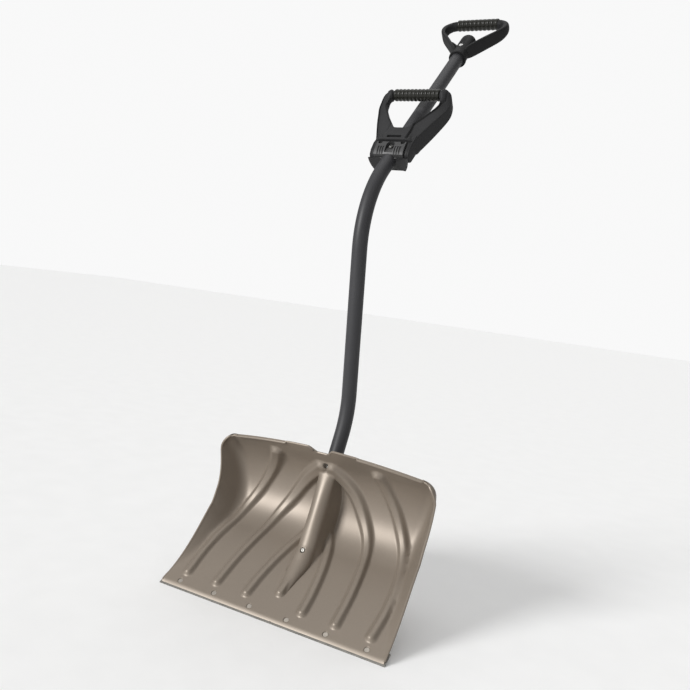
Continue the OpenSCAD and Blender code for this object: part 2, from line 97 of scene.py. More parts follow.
BEND1_IN = FOOT + RUN_A * heading(LEAN_A)
BEND1_CENTRE = BEND1_IN - BEND1_R * across(LEAN_A)
BEND1_OUT = BEND1_CENTRE + BEND1_R * across(LEAN_B)
BEND2_IN = BEND1_OUT + RUN_B * heading(LEAN_B)
BEND2_CENTRE = BEND2_IN + BEND2_R * across(LEAN_B)
BEND2_OUT = BEND2_CENTRE - BEND2_R * across(LEAN_C)
CORNER = BEND2_OUT - BEND2_R * math.tan(math.radians((LEAN_C - LEAN_B) / 2)) * heading(LEAN_C)
OUT_C = -across(LEAN_C)         # towards the front, square to the upper run


def on_shaft(x, s, p):
    """Point x across, s up the upper run of the tube and p in front of its axis."""
    x, s, p = np.broadcast_arrays(*(np.asarray(v, float) for v in (x, s, p)))
    return (np.stack([x, np.zeros_like(x), np.zeros_like(x)], -1) + CORNER
            + s[..., None] * heading(LEAN_C) - p[..., None] * across(LEAN_C))


# ---- mesh helpers ----
SMOOTH_BELOW = 35.0     # edges that turn less than this are shaded smooth
SMOOTH_ROUNDED = 40.0   # the same, for parts with rounded edges


def make_object(name, points, faces, smooth_angle=SMOOTH_BELOW):
    """A mesh object from points in millimetres."""
    mesh = bpy.data.meshes.new(name)
    mesh.from_pydata((np.asarray(points, float).reshape(-1, 3) * MM).tolist(), [], faces)
    mesh.validate()
    obj = bpy.data.objects.new(name, mesh)
    bpy.context.scene.collection.objects.link(obj)
    shade(obj, smooth_angle)
    return obj


def shade(obj, smooth_angle):
    obj.data.polygons.foreach_set("use_smooth", [True] * len(obj.data.polygons))
    obj.data.set_sharp_from_angle(angle=math.radians(smooth_angle))


def grid_faces(rows, cols, close_rows=False, close_cols=False, start=0, flip=False):
    """Quads between the points of a rows by cols grid, numbered row by row from start."""
    faces = []
    for i in range(rows if close_rows else rows - 1):
        for j in range(cols if close_cols else cols - 1):
            a = start + i * cols + j
            b = start + i * cols + (j + 1) % cols
            c = start + (i + 1) % rows * cols + (j + 1) % cols
            d = start + (i + 1) % rows * cols + j
            faces.append((a, d, c, b) if flip else (a, b, c, d))
    return faces


def bar_faces(rows, sides):
    """Faces of a closed bar made of rings of points."""
    faces = grid_faces(rows, sides, close_cols=True)
    faces.append(tuple(range(sides)))
    faces.append(tuple(range((rows - 1) * sides, rows * sides))[::-1])
    return faces


def block_faces(n):
    """Faces of a solid between two outlines of n points each."""
    faces = [tuple(range(n)), tuple(range(2 * n - 1, n - 1, -1))]
    return faces + [(i, (i + 1) % n, n + (i + 1) % n, n + i) for i in range(n)]


def fix_normals(obj):
    """Turns all faces outwards."""
    bm = bmesh.new()
    bm.from_mesh(obj.data)
    bmesh.ops.recalc_face_normals(bm, faces=bm.faces)
    bm.to_mesh(obj.data)
    bm.free()


SWEEP_AID = [0.3, 0.2, 0.93]    # a direction that no swept bar starts along


def swept(name, path, radius, sides):
    """A round bar along a path, with flat ends."""
    path = np.asarray(path, float)
    tangent = np.roll(path, -1, 0) - np.roll(path, 1, 0)
    tangent[0] = path[1] - path[0]
    tangent[-1] = path[-1] - path[-2]
    tangent /= np.linalg.norm(tangent, axis=1)[:, None]
    side = np.cross(tangent[0], SWEEP_AID)
    rings = []
    for i, t in enumerate(tangent):
        side = side - t * (side @ t)
        side /= np.linalg.norm(side)
        other = np.cross(t, side)
        a = np.linspace(0, 2 * np.pi, sides, endpoint=False)[:, None]
        rings.append(path[i] + radius * (np.cos(a) * side + np.sin(a) * other))
    obj = make_object(name, np.array(rings), bar_faces(len(path), sides))
    fix_normals(obj)
    return obj


def lathe(name, profile, place, sides):
    """Turns a closed (radius, height) outline round; place maps (u, v, w) to millimetres."""
    profile = np.asarray(profile, float)
    a = np.linspace(0, 2 * np.pi, sides, endpoint=False)[:, None]
    r, h = profile[:, 0], profile[:, 1]
    points = place(r * np.cos(a), r * np.sin(a), h + 0 * a)
    obj = make_object(name, points, grid_faces(sides, len(profile), True, True))
    fix_normals(obj)
    return obj


def modify(obj, kind, **settings):
    """Adds a modifier and applies it."""
    modifier = obj.modifiers.new(kind, kind)
    for key, value in settings.items():
        setattr(modifier, key, value)
    with bpy.context.temp_override(object=obj, active_object=obj, selected_objects=[obj]):
        bpy.ops.object.modifier_apply(modifier=modifier.name)


def cut(obj, *cutters, solver="MANIFOLD"):
    """Takes each cutter away from obj, and removes it."""
    for cutter in cutters:
        modify(obj, "BOOLEAN", operation="DIFFERENCE", solver=solver, object=cutter)
        bpy.data.objects.remove(cutter)


def joined(name, objects):
    """Makes one object of several."""
    with bpy.context.temp_override(object=objects[0], active_object=objects[0],
                                   selected_objects=objects,
                                   selected_editable_objects=objects):
        bpy.ops.object.join()
    objects[0].name = name
    objects[0].data.name = name
    return objects[0]


def spline(guides, count):
    """Smooth curve through given guide points (Catmull-Rom)."""
    g = np.asarray(guides, float)
    g = np.vstack([2 * g[0] - g[1], g, 2 * g[-1] - g[-2]])
    u = np.linspace(0, len(g) - 3, count)
    k = np.minimum(u.astype(int), len(g) - 4)
    t = (u - k)[:, None]
    a, b, c, d = g[k], g[k + 1], g[k + 2], g[k + 3]
    return 0.5 * (2 * b + (c - a) * t + (2 * a - 5 * b + 4 * c - d) * t ** 2
                  + (3 * b - a - 3 * c + d) * t ** 3)


# ---- scoop sheet ----
# Height of the flat part's front face above y = 0, with the strip under it on the ground
FRONT_Z = (STRIP_T + SHEET_T) / cosd(SLOPE) - EDGE_Y * math.tan(math.radians(SLOPE))
ARC_LEN = CURL_R * math.radians(LIP_SLOPE - SLOPE)


def on_sheet(x, s, h):
    """Point x across, s up the sheet's profile and h proud of its front face."""
    x, s, h = np.broadcast_arrays(*(np.asarray(v, float) for v in (x, s, h)))
    tilt = SLOPE + np.degrees(np.clip(s - FLAT_LENGTH, 0, ARC_LEN) / CURL_R)
    flat = np.minimum(s, FLAT_LENGTH)
    lip = np.maximum(s - FLAT_LENGTH - ARC_LEN, 0)
    y = flat * cosd(SLOPE) + CURL_R * (sind(tilt) - sind(SLOPE)) + lip * cosd(LIP_SLOPE)
    z = (FRONT_Z + flat * sind(SLOPE) + CURL_R * (cosd(SLOPE) - cosd(tilt))
         + lip * sind(LIP_SLOPE))
    return np.stack([x, y - h * sind(tilt), z + h * cosd(tilt)], -1)


WAIST_HALF = 218.0      # half width of the sheet midway up
WAIST_GAIN = 8.0        # how much more it is at the edge and at the top
CORNER_R = 23.0         # of the two top corners
FLARE_LEAST = 4.0       # how far the side walls lean out at their ends
FLARE_GAIN = 25.0       # how much more they do midway
FLARE_LENGTH = 385.0
WALL_DEPTH = 51.0       # of the side walls at their deepest
WALL_FULL_S = 225.0     # where they get that deep
WALL_FALL_S = 235.0     # where they start to run out again


def edge_half(s):
    """Half width of the sheet at s."""
    corner = np.clip((s - (TOP_S - CORNER_R)) / CORNER_R, 0, 1)
    rounding = CORNER_R * (1 - np.sqrt(1 - corner ** 2))
    return WAIST_HALF + WAIST_GAIN * ((s - TOP_S / 2) / (TOP_S / 2)) ** 2 - rounding


def wall_flare(s):
    """How far a side wall leans out at s."""
    return FLARE_LEAST + FLARE_GAIN * sind(180 * np.clip(s / FLARE_LENGTH, 0, 1)) ** 1.5


def wall_depth(s):
    """How far a side wall stands forward of the sheet at s."""
    rise = WALL_DEPTH * sind(90 * np.clip(s / WALL_FULL_S, 0, 1) ** 1.15) ** 2
    run_out = np.maximum(s - WALL_FALL_S, 0) / (TOP_S - WALL_FALL_S)
    return rise * np.sqrt(np.clip(1 - run_out ** 2, 0, 1))


# Guide points of the rib centre lines, as distance across and distance up the sheet
RIB_OUTER = [(188, 34), (190, 90), (185, 140), (171, 205), (148, 258), (124, 308), (108, 350)]
RIB_MIDDLE = [(122, 34), (119, 95), (110, 160), (98, 208), (77, 250), (49, 296), (12, 337)]
RIB_INNER = [(57, 34), (54, 75), (46, 125), (34, 171), (22, 200)]
RIB_TAIL = [(0, 56), (0, 80), (0, 110)]
# The same with how much wider each rib is at its upper end
RIBS = ((RIB_OUTER, 1.5), (RIB_MIDDLE, 1.75), (RIB_INNER, 1.0), (RIB_TAIL, 1.0))
RIB_W = 21.0
RIB_H = 7.8
RIB_POINTS = 90         # points taken along each centre line
RIB_WIDENS = 0.3        # how far up its length a rib starts to widen
RIB_CREST = 0.4         # share of its half width that is level
FAR_OFF = 1e9


def rib_height(x, s):
    """Height of the raised ribs at points of the sheet (the same on both sides)."""
    height = np.zeros_like(x)
    for guides, widen in RIBS:
        away = np.full(x.shape, FAR_OFF)
        where = np.zeros(x.shape)
        for k, (cx, cs) in enumerate(spline(guides, RIB_POINTS)):
            d = np.hypot(np.abs(x) - cx, s - cs)
            where = np.where(d < away, k / (RIB_POINTS - 1), where)
            away = np.minimum(away, d)
        growth = (widen - 1) * smooth(where, RIB_WIDENS, 1)
        t = np.clip(away / (RIB_W / 2 * (1 + growth)), 0, 1)
        crest = RIB_H * (1 + 0.5 * growth)
        height = np.maximum(height, crest * (1 - smooth(t, RIB_CREST, 1.0)))
    return height


# Housing over the tube: half width by distance up the sheet, and height of its low tail
HOUSING_WIDTH = [(40, 10.5), (64, 10.5), (90, 14), (120, 19), (140, 22), (164, 24.5), (200, 25.5),
                 (268, 26), (300, 24), (325, 19.5), (340, 17.6), (420, 17.6)]
TAIL_RISE = [(40, 0), (60, 0), (68, 5.6), (90, 8.8), (120, 15), (140, 21.5), (152, 26.5), (170, 40)]
HOOD_R = TUBE_R + SOCKET_WALL + 0.8
HOOD_START = 150.0      # where the low tail gives way to the hood that follows the tube
HOOD_END = 352.0        # where the hood stops, under the notch in the top edge
HOOD_LEAST = 3.0        # how far it stands off the sheet up there
CROWN_R = 17.6          # of the housing's round top
BLUR = 3.2              # how softly the guide tables are rounded off


def smoothed(table, s):
    """A guide table read at s and rounded off along the sheet."""
    table = np.array(table, float)
    fine = np.arange(-40, 460, 1.0)
    kernel = np.exp(-0.5 * (np.arange(-12, 13) / BLUR) ** 2)
    values = np.interp(fine, table[:, 0], table[:, 1])
    return np.interp(s, fine, np.convolve(values, kernel / kernel.sum(), "same"))


def hood_height(s):
    """How far a cover HOOD_R from the tube's axis stands off the sheet at s."""
    foot = on_sheet(0, s, 0)[..., 1:]
    out = on_sheet(0, s, 1)[..., 1:] - foot
    up = heading(LEAN_A)[1:]
    gap = FOOT[1:] - foot
    turn = out[..., 0] * up[1] - out[..., 1] * up[0]
    return (gap[..., 0] * up[1] - gap[..., 1] * up[0]) / turn + HOOD_R / np.abs(turn)


def housing_at(s):
    """Half width and height of the housing, its height blurred over a few millimetres."""
    fine = s + np.linspace(-4, 4, 13)
    hood = np.where(fine > HOOD_END, 0, np.maximum(hood_height(fine), HOOD_LEAST))
    rise = np.where(fine > HOOD_START, hood, smoothed(TAIL_RISE, fine))
    weight = np.exp(-0.5 * np.linspace(-2, 2, 13) ** 2)
    return smoothed(HOUSING_WIDTH, s), (rise * weight).sum() / weight.sum()


# Points in half a row of the sheet: housing top and side, sheet, fillet and side wall
CROWN_COLS = 13
WEB_COLS = 8
MAIN_COLS = 88
FILLET_COLS = 7
WALL_COLS = 9
FILLET_RUN = 15.0       # how far the fillet of a side wall reaches from its foot
WALL_LEAST = 0.6        # depth of a side wall where it runs out
NOTCH_DEPTH = 15.0      # notch in the middle of the top edge
NOTCH_HALF = 27.0
NOTCH_FROM, NOTCH_TO = 350, 392     # part of the sheet that is drawn down to make it


def half_section(v):
    """One row of the right half of the sheet, v of the way up it.

    Gives x, s, h and the sheet's own lean as arrays from the middle outwards.
    """
    s_wall = v * TOP_S
    s_mid = v * (TOP_S + CROWN)
    width, rise = housing_at(s_mid)
    crown_w = width - (width - CROWN_R) * smooth(rise, 12, 26)
    crown_h = min(rise, CROWN_R)
    turn = np.linspace(0, 90, CROWN_COLS)
    crown_x = crown_w * sind(turn)
    crown_y = rise - crown_h * (1 - cosd(turn))
    web_t = np.linspace(0, 1, WEB_COLS + 1)[1:]
    bent = web_t ** 1.25
    web_x = crown_w + (width - crown_w) * bent
    web_y = (rise - crown_h) * (1 - web_t)

    depth = max(float(wall_depth(s_wall)), WALL_LEAST)
    flare = float(wall_flare(s_wall))
    length = math.hypot(depth, flare)
    fillet = min(FILLET_RUN, length * 0.45)
    foot = float(edge_half(s_wall)) - flare
    tilt = math.degrees(math.atan2(depth, flare))
    main_x = np.linspace(width, foot - fillet, MAIN_COLS + 1)[1:]
    f = np.linspace(0, 1, FILLET_COLS + 1)[1:]
    fillet_x = foot - fillet * (1 - f) ** 2 + fillet * flare / length * f ** 2
    fillet_h = fillet * depth / length * f ** 2
    g = fillet + (length - fillet) * np.linspace(0, 1, WALL_COLS + 1)[1:]
    wall_x = foot + g * flare / length
    wall_h = g * depth / length
    x = np.concatenate([crown_x, web_x, main_x, fillet_x, wall_x])
    h = np.concatenate([crown_y, web_y, 0 * main_x, fillet_h, wall_h])
    q = np.clip(x / (foot - fillet), 0, 1)
    s = v * (TOP_S + CROWN * (1 - q ** 2))
    notch = NOTCH_DEPTH * (1 - smooth(x, 0.35 * NOTCH_HALF, NOTCH_HALF))
    s = s - notch * smooth(s, NOTCH_FROM, NOTCH_TO)
    lean = np.concatenate([0 * crown_x, 0 * web_x, 0 * main_x, tilt * f, tilt + 0 * wall_x])
    return x, s, h, lean


LIP_DROP = 3.0          # how far the front edge is turned down
LIP_RUN = 8.0
END_SHARE = 0.02        # share of the sheet at each end that has closer rows
EDGE_ROWS, MAIN_ROWS, TOP_ROWS = 9, 190, 13


def sheet_grid():
    """x, s and h of the sheet's front, row by row from the cutting edge to the top."""
    edge_rows = np.linspace(0, END_SHARE, EDGE_ROWS)[:-1]
    main_rows = np.linspace(END_SHARE, 1 - END_SHARE, MAIN_ROWS)
    top_rows = 1 - END_SHARE * (1 - np.linspace(0, 1, TOP_ROWS)[1:]) ** 2
    rows = np.concatenate([edge_rows, main_rows, top_rows])
    xs, ss, hs = [], [], []
    for v in rows:
        x, s, h, lean = half_section(v)
        ribs = rib_height(x, s)
        # a rib that runs into the housing fades out up its side
        hood = slice(0, CROWN_COLS + WEB_COLS)
        base = ribs[CROWN_COLS + WEB_COLS - 1]
        lift = base * (1 - np.clip(h[hood] / max(h[0], 1.0), 0, 1)) ** 2
        h[hood] = np.maximum(h[hood], lift)
        ribs[hood] = np.maximum(ribs[hood] - h[hood], 0)
        x = x - ribs * sind(lean)
        h = h + ribs * cosd(lean)
        h -= LIP_DROP * (1 - np.clip(s / LIP_RUN, 0, 1)) ** 1.6
        xs.append(np.concatenate([-x[:0:-1], x]))
        ss.append(np.concatenate([s[:0:-1], s]))
        hs.append(np.concatenate([h[:0:-1], h]))
    return np.array(xs), np.array(ss), np.array(hs)


def grid_normals(points):
    along = np.gradient(points, axis=0)
    over = np.gradient(points, axis=1)
    normals = np.cross(over, along)
    return normals / np.maximum(np.linalg.norm(normals, axis=2), 1e-9)[..., None]


SOFTEN_PASSES = 2
SOFTEN = 0.5            # how far each point moves towards the mean of its neighbours
RIM_R = 2.1             # of the bead along the sides and the top
RIM_GAP = 0.4           # points of its path that are closer than this are left out


def scoop_shell():
    """The sheet with its thickness, and the path of the bead along its rim."""
    x, s, h = sheet_grid()
    front = on_sheet(x, s, h)
    for _ in range(SOFTEN_PASSES):
        inner = front[3:-3, 1:-1]
        beside = front[3:-3, :-2] + front[3:-3, 2:]
        mean = (beside + front[2:-4, 1:-1] + front[4:-2, 1:-1]) / 4
        front[3:-3, 1:-1] = inner + SOFTEN * (mean - inner)
    normals = grid_normals(front)
    back = front - SHEET_T * normals
    # next to the cutting edge the back stays flat, where the wear strip lies
    flat_back = on_sheet(x, s, -SHEET_T)
    keep = smooth(s, 4, 14)[..., None]
    back = flat_back * (1 - keep) + back * keep
    rows, cols = x.shape
    count = rows * cols
    faces = grid_faces(rows, cols) + grid_faces(rows, cols, start=count, flip=True)
    for j in range(cols - 1):
        faces.append((j + 1, j, count + j, count + j + 1))
        t = (rows - 1) * cols + j
        faces.append((t, t + 1, count + t + 1, count + t))
    for i in range(rows - 1):
        a = i * cols
        faces.append((a, a + cols, count + a + cols, count + a))
        b = a + cols - 1
        faces.append((b + cols, b, count + b, count + b + cols))
    shell = make_object("scoop", np.concatenate([front.reshape(-1, 3), back.reshape(-1, 3)]), faces)
    fix_normals(shell)
    rim = (front + back) / 2
    path = np.concatenate([rim[4:-1, 0], rim[-1, :], rim[-2:3:-1, -1]])
    gaps = np.linalg.norm(np.diff(path, axis=0), axis=1)
    path = path[np.concatenate([[True], gaps > RIM_GAP])]
    return shell, path


def frame_at(origin, z_axis):
    """Matrix in metres that puts local Z along z_axis at origin (millimetres)."""
    turn = Vector(z_axis).to_track_quat("Z", "Y").to_matrix().to_4x4()
    return Matrix.Translation(Vector(origin) * MM) @ turn


THIN = 1e-4             # radius that closes a turned solid in its middle


def cutter(profile, origin, z_axis, sides=40):
    """A turned solid used to cut a hole or a dish: (radius, height) points along z_axis."""
    matrix = np.array(frame_at(origin, z_axis))

    def place(u, v, w):
        local = np.stack([u * MM, v * MM, w * MM, np.ones_like(u)], -1)
        return (local @ matrix.T)[..., :3] / MM

    profile = [(THIN, profile[0][1])] + list(profile) + [(THIN, profile[-1][1])]
    return lathe("cutter", profile, place, sides)


RIVET_DISH = [(5.3, 0.6), (5.0, -0.4), (4.6, -1.6), (4.55, -1.9)]
RIVET_HOLE = [(2.55, 1.0), (2.55, -8.0)]
SOCKET_SCREWS = (9.0, 166.0)        # distances up the lowest run of the tube
SCREW_SEAT_P = TUBE_R + 3.3         # their heads' seats, in front of the tube's axis
HEAD_HOLE = [(5.0, 12.0), (5.0, 0.0)]
SLEEVE_UP = 180.0                   # nominal top of the sleeve around the tube
SLEEVE_FLOOR, SLEEVE_FLOOR_T = -4, 3
WEB_UP = (45.0, 90.0, 135.0)
WEB_HALF_T = 1.2
WEB_OUTLINE = ((15.5, 7), (17.0, 8), (19.5, 26), (9.5, 15))


def beside_tube(u, v, w):
    """Point u across, v behind and w up from the foot of the tube's axis."""
    u, v, w = np.broadcast_arrays(*(np.asarray(a, float) for a in (u, v, w)))
    return (FOOT + u[..., None] * ACROSS_X + v[..., None] * across(LEAN_A)
            + w[..., None] * heading(LEAN_A))


def make_scoop():
    shell, rim_path = scoop_shell()
    out = np.array([0, -sind(SLOPE), cosd(SLOPE)])
    for k in range(RIVETS):
        spot = on_sheet((k - (RIVETS - 1) / 2) * RIVET_PITCH, STRIP_WIDTH / 2, 0)
        cut(shell, cutter(RIVET_DISH, spot, out), cutter(RIVET_HOLE, spot, out, 24))
    facing = -across(LEAN_A)
    for up in SOCKET_SCREWS:
        seat = FOOT + up * heading(LEAN_A) + SCREW_SEAT_P * facing
        cut(shell, cutter(HEAD_HOLE, seat, facing))
    rim = swept("rim", rim_path, RIM_R, 10)

    # sleeve around the tube, closed below, with webs to the housing
    outer = TUBE_R + SOCKET_WALL
    shelf = SLEEVE_FLOOR + SLEEVE_FLOOR_T
    sleeve = [(1e-3, SLEEVE_FLOOR), (outer - 1, SLEEVE_FLOOR), (outer, SLEEVE_FLOOR + 1),
              (outer, SLEEVE_UP - 5), (outer - 0.8, SLEEVE_UP - 4),
              (BORE_R + 0.3, SLEEVE_UP - 4), (BORE_R, SLEEVE_UP - 5), (BORE_R, shelf),
              (1e-3, shelf)]
    parts = [shell, rim, lathe("sleeve", sleeve, beside_tube, 48)]
    for up in WEB_UP:
        for side in (-1, 1):
            corners = [beside_tube(side * u, v, w) for w in (up - WEB_HALF_T, up + WEB_HALF_T)
                       for u, v in WEB_OUTLINE]
            web = make_object("web", corners, block_faces(len(WEB_OUTLINE)))
            fix_normals(web)
            parts.append(web)
    return joined("scoop", parts)


# ---- handle tube ----
TUBE_SIDES = 56


def tube_path():
    """Points along the tube's axis from its foot to its upper end."""
    points = [FOOT + t * heading(LEAN_A) for t in np.linspace(0, RUN_A, 14)]
    points += [BEND1_CENTRE + BEND1_R * across(a) for a in np.linspace(LEAN_A, LEAN_B, 25)[1:]]
    points += [BEND1_OUT + t * heading(LEAN_B) for t in np.linspace(0, RUN_B, 16)[1:]]
    points += [BEND2_CENTRE - BEND2_R * across(a) for a in np.linspace(LEAN_B, LEAN_C, 36)[1:]]
    end = on_shaft(0, SHAFT_TOP, 0)
    points += [BEND2_OUT + t * (end - BEND2_OUT) for t in np.linspace(0, 1, 24)[1:]]
    return np.array(points)


def make_tube():
    path = tube_path()
    tangent = np.gradient(path, axis=0)
    tangent /= np.linalg.norm(tangent, axis=1)[:, None]
    a = np.linspace(0, 2 * np.pi, TUBE_SIDES, endpoint=False)[:, None]
    rings = []
    for r in (TUBE_R, TUBE_R - TUBE_WALL):
        rings += [c + r * (np.cos(a) * ACROSS_X + np.sin(a) * np.cross(t, ACROSS_X))
                  for c, t in zip(path, tangent)]
    n = len(path)
    faces = grid_faces(n, TUBE_SIDES, close_cols=True)
    faces += grid_faces(n, TUBE_SIDES, close_cols=True, start=n * TUBE_SIDES, flip=True)
    for row in (0, n - 1):
        outside = row * TUBE_SIDES
        inside = (n + row) * TUBE_SIDES
        for m in range(TUBE_SIDES):
            w = (m + 1) % TUBE_SIDES
            faces.append((outside + m, outside + w, inside + w, inside + m))
    tube = make_object("tube", np.array(rings), faces)
    fix_normals(tube)
    return tube


# ---- materials ----
NOISE_LOW, NOISE_HIGH = 0.3, 0.7        # noise values taken as the ends of a span
EDGE_FROM, EDGE_TO = 0.55, 0.66         # pointiness where wear starts and where it is full


def material(name, color, roughness, metallic=0.0, mottle=0.12, mottle_scale=14.0,
             grain=0.25, grain_scale=900.0, grain_depth=0.00006, wear=0.0, wear_color=None,
             stretch=(1, 1, 1), specular=0.5):
    """A procedural material: blotchy colour, fine grain in roughness and height, worn edges."""
    mat = bpy.data.materials.new(name)
    mat.use_nodes = True
    nodes, links = mat.node_tree.nodes, mat.node_tree.links
    shader = nodes["Principled BSDF"]
    shader.inputs["Metallic"].default_value = metallic
    shader.inputs["Specular IOR Level"].default_value = specular
    place = nodes.new("ShaderNodeTexCoord")
    turn = nodes.new("ShaderNodeMapping")
    turn.inputs["Scale"].default_value = stretch
    links.new(place.outputs["Object"], turn.inputs["Vector"])

    def noise(scale, detail):
        node = nodes.new("ShaderNodeTexNoise")
        node.inputs["Scale"].default_value = scale
        node.inputs["Detail"].default_value = detail
        links.new(turn.outputs["Vector"], node.inputs["Vector"])
        return node.outputs["Fac"]

    def span(value, low, high):
        node = nodes.new("ShaderNodeMapRange")
        node.inputs["From Min"].default_value = NOISE_LOW
        node.inputs["From Max"].default_value = NOISE_HIGH
        node.inputs["To Min"].default_value = low
        node.inputs["To Max"].default_value = high
        links.new(value, node.inputs["Value"])
        return node.outputs["Result"]

    blotch = noise(mottle_scale, 4.0)
    speck = noise(grain_scale, 3.0)
    blend = nodes.new("ShaderNodeMix")
    blend.data_type = "RGBA"
    dark = [c * (1 - mottle) for c in color]
    light = [min(1.0, c * (1 + mottle)) for c in color]
    blend.inputs["A"].default_value = (*dark, 1)
    blend.inputs["B"].default_value = (*light, 1)
    links.new(span(blotch, 0, 1), blend.inputs["Factor"])
    speckle = nodes.new("ShaderNodeMix")
    speckle.data_type = "RGBA"
    speckle.blend_type = "MULTIPLY"
    speckle.inputs["Factor"].default_value = 1.0
    links.new(blend.outputs["Result"], speckle.inputs["A"])
    links.new(span(speck, 1 - grain, 1 + grain * 0.4), speckle.inputs["B"])
    shown = speckle.outputs["Result"]
    if wear > 0:
        edge = nodes.new("ShaderNodeNewGeometry")
        ridge = nodes.new("ShaderNodeMapRange")
        ridge.inputs["From Min"].default_value = EDGE_FROM
        ridge.inputs["From Max"].default_value = EDGE_TO
        ridge.inputs["To Max"].default_value = wear
        links.new(edge.outputs["Pointiness"], ridge.inputs["Value"])
        worn = nodes.new("ShaderNodeMix")
        worn.data_type = "RGBA"
        worn.inputs["B"].default_value = (*(wear_color or light), 1)
        links.new(ridge.outputs["Result"], worn.inputs["Factor"])
        links.new(shown, worn.inputs["A"])
        shown = worn.outputs["Result"]
    links.new(shown, shader.inputs["Base Color"])
    links.new(span(blotch, roughness * 0.88, min(1, roughness * 1.12)), shader.inputs["Roughness"])
    bump = nodes.new("ShaderNodeBump")
    bump.inputs["Strength"].default_value = 0.6
    bump.inputs["Distance"].default_value = grain_depth
    links.new(speck, bump.inputs["Height"])
    links.new(bump.outputs["Normal"], shader.inputs["Normal"])
    return mat


def dress(obj, mat):
    obj.data.materials.clear()
    obj.data.materials.append(mat)


def finish_piece(obj, mat, slot, body, *nodes):
    """Gives a new piece its material, its body and the CAD nodes it stands for; slot is not used.
    """
    dress(obj, mat)
    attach(obj, body)
    if nodes:
        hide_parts(*nodes)


resin = material("moulded_resin", (0.235, 0.197, 0.159), 0.45, metallic=0.32, mottle=0.05,
                 mottle_scale=6.0, grain=0.10, grain_scale=1400.0, grain_depth=0.00004,
                 wear=0.25, wear_color=(0.55, 0.49, 0.42))
steel = material("strip_steel", (0.27, 0.26, 0.24), 0.48, metallic=0.8, mottle=0.2,
                 mottle_scale=30.0, grain=0.3, grain_scale=500.0, stretch=(0.15, 1, 1))
rivet = material("rivet_steel", (0.44, 0.4, 0.35), 0.36, metallic=0.75, mottle=0.12,
                 mottle_scale=120.0, grain=0.2)
zinc = material("zinc_screw", (0.13, 0.13, 0.125), 0.45, metallic=0.7, mottle=0.15,
                mottle_scale=150.0, grain=0.2)
bright = material("bright_rivet", (0.72, 0.72, 0.71), 0.3, metallic=0.85, mottle=0.06,
                  mottle_scale=150.0, grain=0.12)
paint = material("tube_paint", (0.036, 0.036, 0.039), 0.5, mottle=0.1, mottle_scale=9.0,
                 grain=0.22, grain_scale=1100.0, grain_depth=0.00008, wear=0.1,
                 wear_color=(0.08, 0.08, 0.08), specular=0.35)
plastic = material("grip_plastic", (0.031, 0.031, 0.032), 0.52, mottle=0.15, mottle_scale=18.0,
                   grain=0.25, grain_scale=1500.0, grain_depth=0.00006, wear=0.3,
                   wear_color=(0.055, 0.055, 0.055), specular=0.1)
# the grip plastic again, made about half as bright for the end grip: this darker copy is painted
# shade
shaded_grip_plastic = material("grip_plastic_painted_shade", (0.016, 0.016, 0.0165), 0.52, mottle=0.15,
                        mottle_scale=18.0, grain=0.25, grain_scale=1500.0,
                        grain_depth=0.00006, wear=0.3, wear_color=(0.035, 0.035, 0.035),
                        specular=0.12)
clamp_plastic = material("clamp_plastic", (0.022, 0.022, 0.023), 0.45, mottle=0.15,
                         mottle_scale=25.0, grain=0.25, grain_scale=1500.0, wear=0.5,
                         wear_color=(0.07, 0.07, 0.07), specular=0.35)
rubber = material("grip_rubber", (0.013, 0.013, 0.0098), 0.34, mottle=0.15, mottle_scale=40.0,
                  grain=0.25, grain_scale=1800.0, grain_depth=0.00005, wear=0.3,
                  wear_color=(0.03, 0.03, 0.024), specular=0.32)

nodes = frame["nodes"]
# the end grip's CAD node takes the darker copy of the grip plastic, which paints shade on it
for name, mat in {"wear_strip": steel, "wear_strip_rivets": rivet, "socket_screw_upper": steel,
                  "socket_screw_lower": steel, "top_grip_rivet": bright, "clamp_screws": zinc,
                  "clamp_nuts": zinc, "locating_screw": zinc, "hinge_pins": zinc,
                  "top_grip": shaded_grip_plastic, "top_grip_sleeve": rubber, "assist_grip": plastic,
                  "assist_grip_sleeve": rubber, "hinge_block": clamp_plastic,
                  "clamp_saddle": clamp_plastic}.items():
    dress(nodes[name], mat)

scoop = make_scoop()
finish_piece(scoop, resin, "scoop_resin", "handle", "blade")
tube = make_tube()
finish_piece(tube, paint, "tube_paint", "handle", "handle_tube")


# ---- grips ----
def face_out(obj, probe, direction):
    """Flips an open sheet if the face nearest probe looks away from direction."""
    faces = obj.data.polygons
    near = min(faces, key=lambda f: (f.center - Vector(probe) * MM).length)
    if near.normal.dot(Vector(direction)) < 0:
        obj.data.flip_normals()


def ring_bar(name, guides, count, sides):
    """A bar that changes section along its way, in the shaft frame.

    A guide is [x, s, p, half thickness, half breadth, squareness]: squareness is 2 for a
    round section and more for a boxy one.
    """
    g = spline(guides, count)
    step = np.gradient(g[:, :2], axis=0)
    step /= np.linalg.norm(step, axis=1)[:, None]
    turn = np.linspace(0, 360, sides, endpoint=False)
    rings = []
    for (x, s, p, thick, broad, square), (dx, ds) in zip(g, step):
        power = 2 / square
        out = thick * np.sign(cosd(turn)) * np.abs(cosd(turn)) ** power
        rise = broad * np.sign(sind(turn)) * np.abs(sind(turn)) ** power
        rings.append(on_shaft(x - ds * out, s + dx * out, p + rise))
    obj = make_object(name, np.array(rings), bar_faces(count, sides), 50)
    fix_normals(obj)
    return obj


def shaft_lathe(name, profile, sides=64):
    """Turns a closed (radius, s) outline round the shaft."""
    return lathe(name, profile, lambda u, v, w: on_shaft(u, w, v), sides)


def arc(cx, cy, r, start, end, count):
    """Points of an arc in a plane, as pairs."""
    return [(cx + r * cosd(a), cy + r * sind(a)) for a in np.linspace(start, end, count)]


